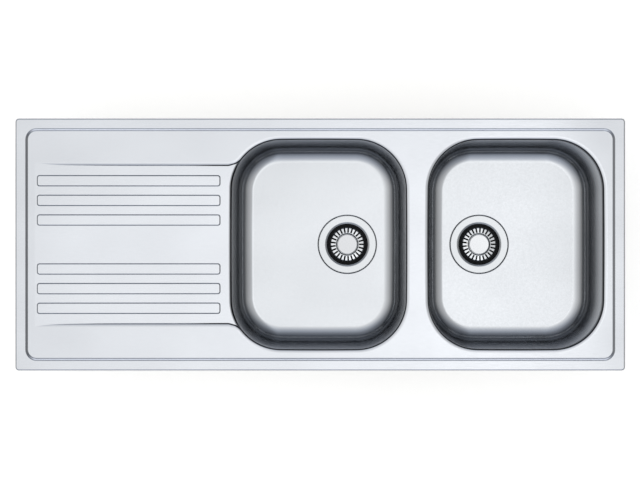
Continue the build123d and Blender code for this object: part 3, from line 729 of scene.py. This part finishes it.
def turned(radii, heights, facing, angles, x):
    """Grid of a fold turned about the axis at x. Row i has its own radius, height and angles."""
    way = np.stack([np.cos(angles), np.sin(angles)], axis=-1)
    points = np.dstack([radii[:, None, None] * way + [x, 0], np.broadcast_to(heights[:, None], angles.shape)])
    normals = np.concatenate([
        facing[:, None, :1] * way, np.broadcast_to(facing[:, None, 1:], way.shape[:2] + (1,))
    ], axis=-1)
    return points, normals


def dome_patches(x):
    """Crown, bars and skirt. A bar's half angle at radius r is half a pitch less arcsine(half slot / r),
    so the slots keep parallel sides."""
    radii, heights, facing = folded(
        [
            (DOME, -DOME_DEPTH), (DOME, -SHOULDER_DEPTH), (DISH, -DISH_TOP),
            (DISH - DISH_FLARE, -DISH_DEPTH), (PIN_HOLE, -DISH_DEPTH),
        ],
        [SHOULDER, *DISH_BENDS], step=8,
    )
    radii, heights, facing = radii[::-1], heights[::-1], facing[::-1]
    travel = np.concatenate([[0], np.cumsum(np.hypot(np.diff(radii), np.diff(heights)))])
    slot_from = np.interp(SLOT_START, radii, travel)
    outer = travel > slot_from
    slot_to = np.interp(SLOT_DEPTH, -heights[outer], travel[outer])

    def rows(start, end, count):
        """Radii, heights and facing on the fold between two travels, at its own bends and evenly between."""
        bends = travel[(travel > start) & (travel < end)]
        at = np.unique(np.concatenate([np.linspace(start, end, count), bends]))
        at = at[np.append(True, np.diff(at) > ROW_GAP)]
        at[-1] = end
        facing_at = np.column_stack([np.interp(at, travel, facing[:, i]) for i in range(2)])
        return np.interp(at, travel, radii), np.interp(at, travel, heights) + FLOOR, facing_at

    pitch = 2 * np.pi / SLOTS
    centres = pitch * (np.arange(SLOTS) + 0.5)[:, None]
    bar_across, slot_across = np.linspace(-1, 1, 7), np.linspace(-1, 1, 4)[1:-1]

    def sector(radius):
        """Angles of a whole ring's columns, which meet the bars' columns at this radius."""
        half = pitch / 2 - np.arcsin(SLOT_HALF / radius)
        bar = centres + half * bar_across
        gap = centres + pitch / 2 + (pitch / 2 - half) * slot_across
        return np.concatenate([bar, gap], axis=1).ravel()

    patches = []
    crown, skirt = rows(0, slot_from, 5), rows(slot_to, travel[-1], 3)
    for ring, columns in ((crown, sector(SLOT_START)), (skirt, sector(DOME))):
        angles = np.broadcast_to(columns, (len(ring[0]), len(columns)))
        patches.append(grid(*turned(*ring, angles, x), close_columns=True))
    bar = rows(slot_from, slot_to, 14)
    half = pitch / 2 - np.arcsin(SLOT_HALF / bar[0])
    for centre in centres.ravel():
        patches.append(grid(*turned(*bar, centre + half[:, None] * bar_across, x)))
    return patches


# %% Rings and caps
RING, RING_TOP, RING_FOOT, GROOVE = 40.0, -7.8, -13.7, 1.0
RING_BENDS = [0.2, 1.2, 0.25, 0.25, 0.25, 1.0, 0.2]
CAP, CAP_TOP, CAP_RIM, CAP_BENDS = 19.6, 1.2, 2.0, [0.2, 1.2]


def closed_fold(corners, radii, step=12):
    """A closed profile: its seam is put in the middle of the first side."""
    middle = (np.array(corners[0], dtype=float) + np.array(corners[-1])) / 2
    offsets, heights, facing = folded([middle, *corners, middle], radii, step)
    return offsets[:-1], heights[:-1], facing[:-1]


def ring_patches(x):
    """The rubber ring: a band with two beads, flush in the throat, turned about the axis."""
    valley = (DOME + RING) / 2
    corners = [
        (RING, RING_FOOT), (RING, RING_TOP), (valley + GROOVE, RING_TOP), (valley, RING_TOP - GROOVE),
        (valley - GROOVE, RING_TOP), (DOME, RING_TOP), (DOME, RING_FOOT),
    ]
    path, sides = circle((x, 0), 0.0, ROUND_STEPS)
    return [carried(path, sides, closed_fold(corners, RING_BENDS), closed_profile=True, base=FLOOR)]


def cap_patches(x):
    """The round cap: a turned edge, closed by a flat top and a flat underside."""
    path, sides = circle((x, 0), CAP, ROUND_STEPS)
    corners = [(-CAP_RIM, -DISH_DEPTH), (0, -DISH_DEPTH), (0, CAP_TOP), (-CAP_RIM, CAP_TOP)]
    fold = folded(corners, CAP_BENDS, step=10)
    flat_edge = path - CAP_RIM * sides
    return [
        carried(path, sides, fold, base=FLOOR),
        web(flat_edge, [], level(FLOOR + CAP_TOP)),
        web(flat_edge, [], level(FLOOR - DISH_DEPTH), (0, 0, -1)),
    ]


# %% The wastes' pieces on their bodies
for side in ("left", "right"):
    x = WASTE_X[side]
    strainer_body = f"{side}_strainer_assembly"
    turned_parts = [
        (f"{side}_polished_cup", cup_patches(x), CUP_SHEET, f"{side}_waste_cup", "sink", "polished_steel"),
        (f"{side}_dome", dome_patches(x), DOME_SHEET, f"{side}_strainer", strainer_body, "polished_steel"),
        (f"{side}_rubber_ring", ring_patches(x), 0.0, f"{side}_strainer_ring", strainer_body, "black_rubber"),
        (f"{side}_cap_disc", cap_patches(x), 0.0, f"{side}_strainer_cap", strainer_body, "polished_steel"),
    ]
    for name, patches, thickness, node, body, slot in turned_parts:
        piece = sheet_mesh(name, patches, thickness)
        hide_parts(node)
        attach(piece, body)

# %% [markdown]
# ## Finishes: helpers
# Every finish is worked out from the place on the object, so no picture has to be wrapped round the bends,
# where it would smear. One function adds a node with its settings and links, another a noise whose scale is
# given in lumps a metre, as one would count them on the real sheet.

# %% Helpers for materials
def linear(hex_colour):
    """An sRGB hex colour as linear values."""
    channels = np.array([int(hex_colour[i:i + 2], 16) for i in (1, 3, 5)]) / 255
    low, high = channels / 12.92, ((channels + 0.055) / 1.055) ** 2.4
    return (*np.where(channels <= 0.04045, low, high).tolist(), 1.0)


def add_node(tree, kind, settings=None, **links):
    """A node with its settings. A link's value is a constant or another node's output socket; a name
    such as input_1 picks a socket by number."""
    made = tree.nodes.new(kind)
    for key, value in (settings or {}).items():
        setattr(made, key, value)
    for key, value in links.items():
        picked = made.inputs[int(key[6:]) if key.startswith("input_") else key.replace("_", " ")]
        if isinstance(value, bpy.types.NodeSocket):
            tree.links.new(value, picked)
        else:
            picked.default_value = value
    return made


def new_material(name):
    """An empty node material and its output node."""
    material = bpy.data.materials.new(name)
    material.use_nodes = True
    tree = material.node_tree
    tree.nodes.clear()
    return material, tree, tree.nodes.new("ShaderNodeOutputMaterial")


def noise_at(tree, place, lumps, detail=3.0):
    """Noise with so many lumps a metre along each axis."""
    stretch = add_node(tree, "ShaderNodeMapping", Vector=place, Scale=lumps)
    return add_node(
        tree, "ShaderNodeTexNoise", Vector=stretch.outputs[0], Scale=1.0, Detail=detail, Roughness=0.6
    ).outputs[0]


# %% [markdown]
# ## Finishes: steel
# The real deck is cold-rolled stainless sheet with a fine satin grain that runs along the sink. The bowls are
# drawn from the same sheet, which stretches the grain down their walls, and the wastes are buffed. All share
# one recipe: stretched noise varies the roughness and gives a faint bump, and a slow noise lets the sheet's
# tone and flatness wander a little, as pressed sheet does. What the eye reads as steel is the room in it.

# %% The recipe for metal
SLOW_LUMPS, TONE, GRAIN_HEIGHT = (5.0, 7.0, 7.0), 0.03, 0.0002
NOISE_LOW, NOISE_HIGH = 0.3, 0.7  # noise seldom leaves this range
# colour, roughness and fade of the painted shade that the steel takes below a level or by an attribute
PAINTED_SHADE_STEEL, PAINTED_SHADE_ROUGHNESS, PAINTED_SHADE_FADE = "#2C2E31", 0.5, 0.002


def metal(name, colour, roughness, spread, grain, bump, wave=0.0, deep=None, line=None):
    """Metal with so many lumps of grain a metre. Its roughness varies by spread, and wave is the height in
    metres of its slow unevenness. Under the level deep, or where the attribute line is 1, it is painted dark
    as shade, with a duller roughness."""
    material, tree, output = new_material(name)
    place = add_node(tree, "ShaderNodeTexCoord").outputs["Object"]
    fine, slow = noise_at(tree, place, grain), noise_at(tree, place, SLOW_LUMPS, 1.0)
    rough = add_node(tree, "ShaderNodeMapRange", input_0=fine, input_1=NOISE_LOW, input_2=NOISE_HIGH,
                     input_3=roughness - spread, input_4=roughness + spread).outputs[0]
    tone = add_node(tree, "ShaderNodeMapRange", input_0=slow, input_1=NOISE_LOW, input_2=NOISE_HIGH,
                    input_3=1 - TONE, input_4=1 + TONE).outputs[0]
    shade = add_node(tree, "ShaderNodeHueSaturation", Color=linear(colour), Value=tone).outputs[0]
    waves = add_node(tree, "ShaderNodeBump", Strength=1.0 if wave else 0.0, Distance=wave, Height=slow)
    lines = add_node(tree, "ShaderNodeBump", Strength=bump, Distance=GRAIN_HEIGHT, Height=fine,
                     Normal=waves.outputs[0])
    # painted shade: below the level deep, or by the attribute line, the near-black colour is mixed in
    dark = None
    if deep is not None:
        level = add_node(tree, "ShaderNodeSeparateXYZ", Vector=place).outputs[2]
        dark = add_node(tree, "ShaderNodeMapRange", input_0=level, input_1=deep,
                        input_2=deep - PAINTED_SHADE_FADE).outputs[0]
    elif line is not None:
        dark = add_node(tree, "ShaderNodeAttribute", {"attribute_name": line}).outputs["Fac"]
    if dark is not None:
        shade = add_node(tree, "ShaderNodeMix", {"data_type": "RGBA"}, input_0=dark, input_6=shade,
                         input_7=linear(PAINTED_SHADE_STEEL)).outputs[2]
        rough = add_node(tree, "ShaderNodeMix", input_0=dark, input_2=rough,
                         input_3=PAINTED_SHADE_ROUGHNESS).outputs[0]
    shader = add_node(tree, "ShaderNodeBsdfPrincipled", Base_Color=shade, Metallic=1.0, Roughness=rough,
                      Normal=lines.outputs[0])
    tree.links.new(shader.outputs[0], output.inputs[0])
    return material


# %% The metals
# cold-rolled sheet with a satin finish: soft reflections, streaked along the sink. Its real grain is 0.1 mm
# wide and is drawn at 1 mm by 17 mm, so that it doesn't flicker at this distance
# the attribute rim_line puts the painted dark reflection on the rims' sharp bend
satin = metal("satin_stainless_sheet", "#BBBDC1", 0.17, 0.03, grain=(60.0, 900.0, 900.0), bump=0.03,
              wave=0.0009, line="rim_line")
# drawn bowl: the same satin, its 3 mm grain stretched to 10 mm down the walls, which gives the bands there
# their soft edges. It is drawn coarser too
drawn = metal("satin_drawn_bowl", "#B7B9BC", 0.17, 0.03, grain=(300.0, 300.0, 100.0), bump=0.005,
              wave=0.0006)
# buffed caps, pins and screws: nearly mirrors, with the 2 mm marks of the buffing wheel
BUFFED = (500.0, 500.0, 500.0)
polished = metal("polished_stainless", "#B1B2B4", 0.10, 0.03, grain=BUFFED, bump=0.02)
# buffed dome: bright bars, with painted shade from 4.9 mm below the bowl's floor down, which covers the skirt
# below the slots
dome_steel = metal("polished_dome_steel", "#C6C8CA", 0.10, 0.03, grain=BUFFED, bump=0.02,
                   deep=(FLOOR - 4.9) * MM)
# drawn and buffed cup: a bright flange with a soft sheen, and painted shade on the ledge and bottom under the
# strainer
cup_steel = metal("polished_cup_steel", "#B9BBBD", 0.20, 0.03, grain=BUFFED, bump=0.02,
                  deep=(FLOOR - LEDGE_DEPTH + 1.0) * MM)
# bright zinc plate on the clips: a greyer, duller metal with a 3 mm mottle
zinc = metal("zinc_plated_steel", "#B4B6B3", 0.38, 0.06, grain=(300.0, 300.0, 300.0), bump=0.2)
# brass insert: yellow, with 1 mm streaks along its bore, drawn coarser than a tool's marks
brass = metal("turned_brass", "#C9A45C", 0.3, 0.05, grain=(900.0, 900.0, 100.0), bump=0.2)
print(len(bpy.data.materials), "materials with the metals")

# %% [markdown]
# ## Finishes: rubber, foam, bitumen and plastic
# These are moulded, foamed or rolled, so none has a direction. Even noise mixes two close colours and gives
# the surface its relief: cells in the foam, stipple in the bitumen, the mould's fine skin on rubber and
# plastic. They differ in scale, height and gloss.

# %% The dull materials
def dull(name, colour, second, roughness, lumps, bump, distance, sheen=0.5):
    """A dull material with so many lumps a metre: noise mixes two close colours and gives a bump."""
    material, tree, output = new_material(name)
    place = add_node(tree, "ShaderNodeTexCoord").outputs["Object"]
    noise = noise_at(tree, place, (lumps, lumps, lumps), 4.0)
    mixed = add_node(tree, "ShaderNodeMix", {"data_type": "RGBA"}, input_0=noise,
                     input_6=linear(colour), input_7=linear(second))
    relief = add_node(tree, "ShaderNodeBump", Strength=bump, Distance=distance, Height=noise)
    shader = add_node(tree, "ShaderNodeBsdfPrincipled", Base_Color=mixed.outputs[2], Roughness=roughness,
                      Specular_IOR_Level=sheen, Normal=relief.outputs[0])
    tree.links.new(shader.outputs[0], output.inputs[0])
    return material


# moulded nitrile rubber: the deep black ring round each strainer, with a faint 1 mm skin
rubber = dull("black_nitrile_rubber", "#101112", "#1A1B1C", 0.6, lumps=900.0, bump=0.2, distance=0.0001,
              sheen=0.3)
# closed-cell foam strip: dark grey and quite dull, cells of 0.8 mm
foam = dull("closed_cell_foam", "#2B2C2E", "#3A3B3E", 0.9, lumps=1200.0, bump=0.5, distance=0.0003)
# rolled bitumen pad: matt, with a 3 mm stipple half a millimetre high
bitumen = dull("bitumen_pad", "#2E2F31", "#434446", 0.85, lumps=350.0, bump=0.6, distance=0.0005)
# injection-moulded waste body: a black with some gloss and a fine 1.5 mm texture
plastic = dull("moulded_polypropylene", "#1E1F21", "#28292B", 0.45, lumps=700.0, bump=0.15, distance=0.0001)
print(len(bpy.data.materials), "materials with the dull ones")

# %% [markdown]
# ## Finishes: put on
# The parts under the sink keep their solids from the CAD model and only need a finish. Each skin takes its
# own.

# %% Put the finishes on
CAD_FINISH = {
    "rim_seal": foam, "clip_brackets": zinc, "clip_screws": zinc,
    "left_bowl_pad": bitumen, "right_bowl_pad": bitumen,
}
CAD_FINISH.update({name: zinc for name in nodes if name.startswith("clip_arm")})
for side in ("left", "right"):
    CAD_FINISH.update({
        f"{side}_cup_seal": rubber, f"{side}_body_seal": rubber, f"{side}_waste_body": plastic,
        f"{side}_body_insert": brass, f"{side}_waste_screw": polished, f"{side}_strainer_pin": polished,
    })
for name, finish in CAD_FINISH.items():
    obj = nodes[name]
    if not obj.material_slots:
        obj.data.materials.append(None)
    for material_slot in obj.material_slots:
        material_slot.link = "OBJECT"
        material_slot.material = finish

SKIN_FINISH = {
    "bowl_shell": drawn, "polished_cup": cup_steel, "dome": dome_steel, "cap_disc": polished,
    "rubber_ring": rubber,
}
pressed_top.data.materials.append(satin)
for side in ("left", "right"):
    for piece_name, finish in SKIN_FINISH.items():
        bpy.data.objects[f"{side}_{piece_name}"].data.materials.append(finish)
print(len(CAD_FINISH), "solids and", 1 + 2 * len(SKIN_FINISH), "skins have their finish")

# %% [markdown]
# ## The floor
# The sink stands on white paper, as in a product picture. The paper is a plain diffuse sheet at the height of
# the lowest part. What the camera and the steel see of it also glows a little, so that it comes out white
# while the sink's soft shadow stays.

# %% The floor
FLOOR_REACH, FLOOR_GLOW = 6.0, 0.5
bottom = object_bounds()[0][2]
around = [(-1, -1), (1, -1), (1, 1), (-1, 1)]
floor_mesh = bpy.data.meshes.new("floor")
floor_mesh.from_pydata([(FLOOR_REACH * x, FLOOR_REACH * y, bottom) for x, y in around], [], [(0, 1, 2, 3)])
floor = bpy.data.objects.new("floor", floor_mesh)
bpy.context.scene.collection.objects.link(floor)
pale, tree, output = new_material("pale_floor")
lit = add_node(tree, "ShaderNodeBsdfDiffuse", Color=linear("#FBFAF8"))
glow = add_node(tree, "ShaderNodeEmission", Color=linear("#FFFDF8"), Strength=FLOOR_GLOW)
rays = add_node(tree, "ShaderNodeLightPath").outputs
seen = add_node(tree, "ShaderNodeMath", {"operation": "ADD"}, input_0=rays["Is Camera Ray"],
                input_1=rays["Is Glossy Ray"])
seen = add_node(tree, "ShaderNodeMath", {"operation": "ADD", "use_clamp": True}, input_0=seen.outputs[0],
                input_1=rays["Is Transmission Ray"])
both = add_node(tree, "ShaderNodeAddShader", input_0=lit.outputs[0], input_1=glow.outputs[0])
choice = add_node(tree, "ShaderNodeMixShader", input_0=seen.outputs[0], input_1=lit.outputs[0],
                  input_2=both.outputs[0])
tree.links.new(choice.outputs[0], output.inputs[0])
floor_mesh.materials.append(pale)
print("floor at", round(bottom, 4), "m")

# %% [markdown]
# ## The light
# Satin steel has hardly a colour of its own: it shows the room. The photo was taken under a bright panel
# straight above, in a room that darkens towards its sides, most of all to the right, and turns blue to the
# front and the back. Lamps would leave spots in the steel, so the whole room is one sky, drawn as smooth
# curves over the direction. The curves' levels were read off the photo: a face that leans by some angle
# shows the room at twice that angle.

# %% Curves over the sky
world = bpy.data.worlds.new("studio")
bpy.context.scene.world = world
world.use_nodes = True
tree = world.node_tree
tree.nodes.clear()
direction = add_node(tree, "ShaderNodeTexCoord").outputs["Generated"]
to_right, to_back, upwards = add_node(tree, "ShaderNodeSeparateXYZ", Vector=direction).outputs


def ramp(value, stops, low, high, peak):
    """Smooth curve through (value, level or colour) stops, from low to high. A ramp only holds 0 to 1, so it
    holds the levels divided by their peak."""
    place = add_node(tree, "ShaderNodeMapRange", input_0=value, input_1=low, input_2=high)
    made = add_node(tree, "ShaderNodeValToRGB", Fac=place.outputs[0])
    made.color_ramp.interpolation = "B_SPLINE"
    elements = made.color_ramp.elements
    for number, (at, level) in enumerate(stops):
        stop = elements[number] if number < 2 else elements.new(1.0)
        stop.position = (at - low) / (high - low)
        stop.color = (*(np.broadcast_to(level, 3) / peak).tolist(), 1)
    return made.outputs[0]


TIMES = {"operation": "MULTIPLY"}

# %% The panel above
# brightness by the angle from the panel's axis, in degrees
LIGHT_BY_ANGLE = [
    (0, 1.88), (6, 1.84), (10, 1.66), (15, 1.46), (28, 1.3), (44, 0.98), (53, 0.74), (63, 0.48), (75, 0.4),
    (90, 0.38),
]
# share of it that is left by the sideways part of the direction: the room is darker to the right
SHARE_BY_X = [
    (-1, 0.8), (-0.42, 0.84), (-0.15, 1.03), (0.0, 0.93), (0.06, 1.06), (0.11, 1.3), (0.17, 0.78),
    (0.31, 0.62), (1, 0.62),
]
# tint by the front to back part of the direction: both long sides of the room are darker and bluer
SIDE_TINT, NEAR_TINT, TOP_TINT = (0.53, 0.58, 0.68), (0.58, 0.62, 0.69), (0.985, 0.99, 0.99)
TINT_BY_Y = [
    (-1, SIDE_TINT), (-0.5, NEAR_TINT), (-0.16, TOP_TINT), (0.16, TOP_TINT), (0.5, NEAR_TINT), (1, SIDE_TINT),
]
LIGHT_PEAK, SHARE_PEAK = 2.0, 1.4
# the panel's axis leans three degrees to the right and five to the front
LEAN_X, LEAN_Y = np.sin(np.radians(3)), -np.sin(np.radians(5))
panel_axis = (LEAN_X, LEAN_Y, np.sqrt(1 - LEAN_X**2 - LEAN_Y**2))
along_axis = add_node(tree, "ShaderNodeVectorMath", {"operation": "DOT_PRODUCT"}, input_0=direction,
                      input_1=panel_axis).outputs["Value"]
angle = add_node(tree, "ShaderNodeMath", {"operation": "ARCCOSINE"}, input_0=along_axis)
degrees = add_node(tree, "ShaderNodeMath", TIMES, input_0=angle.outputs[0], input_1=180 / np.pi)
by_angle = ramp(degrees.outputs[0], LIGHT_BY_ANGLE, 0, 90, LIGHT_PEAK)
brightness = add_node(tree, "ShaderNodeMath", TIMES, input_0=by_angle, input_1=LIGHT_PEAK)
by_x = ramp(to_right, SHARE_BY_X, -1, 1, SHARE_PEAK)
share = add_node(tree, "ShaderNodeMath", TIMES, input_0=by_x, input_1=SHARE_PEAK)
tint = ramp(to_back, TINT_BY_Y, -1, 1, 1.0)
strength = add_node(tree, "ShaderNodeMath", TIMES, input_0=brightness.outputs[0], input_1=share.outputs[0])
panel = add_node(tree, "ShaderNodeBackground", Color=tint, Strength=strength.outputs[0])
print("panel curve of", len(LIGHT_BY_ANGLE), "levels, brightest", LIGHT_BY_ANGLE[0][1])

# %% Daylight near the horizon
# a low band of daylight, strong to the front and the back, which the border's 45 degree step picks up
DAY_BAND, DAY_SIDES, DAY_ALL_ROUND = (0.05, 0.3), 1.4, 0.1
height = add_node(tree, "ShaderNodeMath", {"operation": "ABSOLUTE"}, input_0=upwards)
near_level = add_node(tree, "ShaderNodeMapRange", {"interpolation_type": "SMOOTHSTEP"},
                      input_0=height.outputs[0], input_1=DAY_BAND[0], input_2=DAY_BAND[1], input_3=1.0,
                      input_4=0.0)
sideways = add_node(tree, "ShaderNodeMath", {"operation": "POWER"}, input_0=to_back, input_1=4.0)
low_light = add_node(tree, "ShaderNodeMath", {"operation": "MULTIPLY_ADD"}, input_0=sideways.outputs[0],
                     input_1=DAY_SIDES, input_2=DAY_ALL_ROUND)
windows = add_node(tree, "ShaderNodeMath", TIMES, input_0=near_level.outputs[0],
                   input_1=low_light.outputs[0])
day = add_node(tree, "ShaderNodeBackground", Color=linear("#F4F7FF"), Strength=windows.outputs[0])
sky = add_node(tree, "ShaderNodeAddShader", input_0=panel.outputs[0], input_1=day.outputs[0])
tree.links.new(sky.outputs[0], tree.nodes.new("ShaderNodeOutputWorld").inputs[0])
print(len(tree.nodes), "nodes in the sky")

# %% [markdown]
# ## The camera
# The photo looks straight down. Its bowls' floors are drawn a little smaller than their openings and lie
# nearer the picture's middle, by what a camera 3.5 m up gives. The lens follows from the width in view.

# %% The camera
CAMERA_HEIGHT, CAMERA_X, CAMERA_Y = 3.5, -0.0005, 0.0086
WIDTH_IN_VIEW, SENSOR = 1.2166, 36.0
camera_data = bpy.data.cameras.new("camera")
camera_data.sensor_width = SENSOR
camera_data.lens = SENSOR * (CAMERA_HEIGHT - RIM_TOP * MM) / WIDTH_IN_VIEW
camera = bpy.data.objects.new("camera", camera_data)
camera.location = (CAMERA_X, CAMERA_Y, CAMERA_HEIGHT)
bpy.context.scene.collection.objects.link(camera)
bpy.context.scene.camera = camera
bpy.context.scene.view_settings.view_transform = "Standard"
print("lens", round(camera_data.lens, 1), "mm")
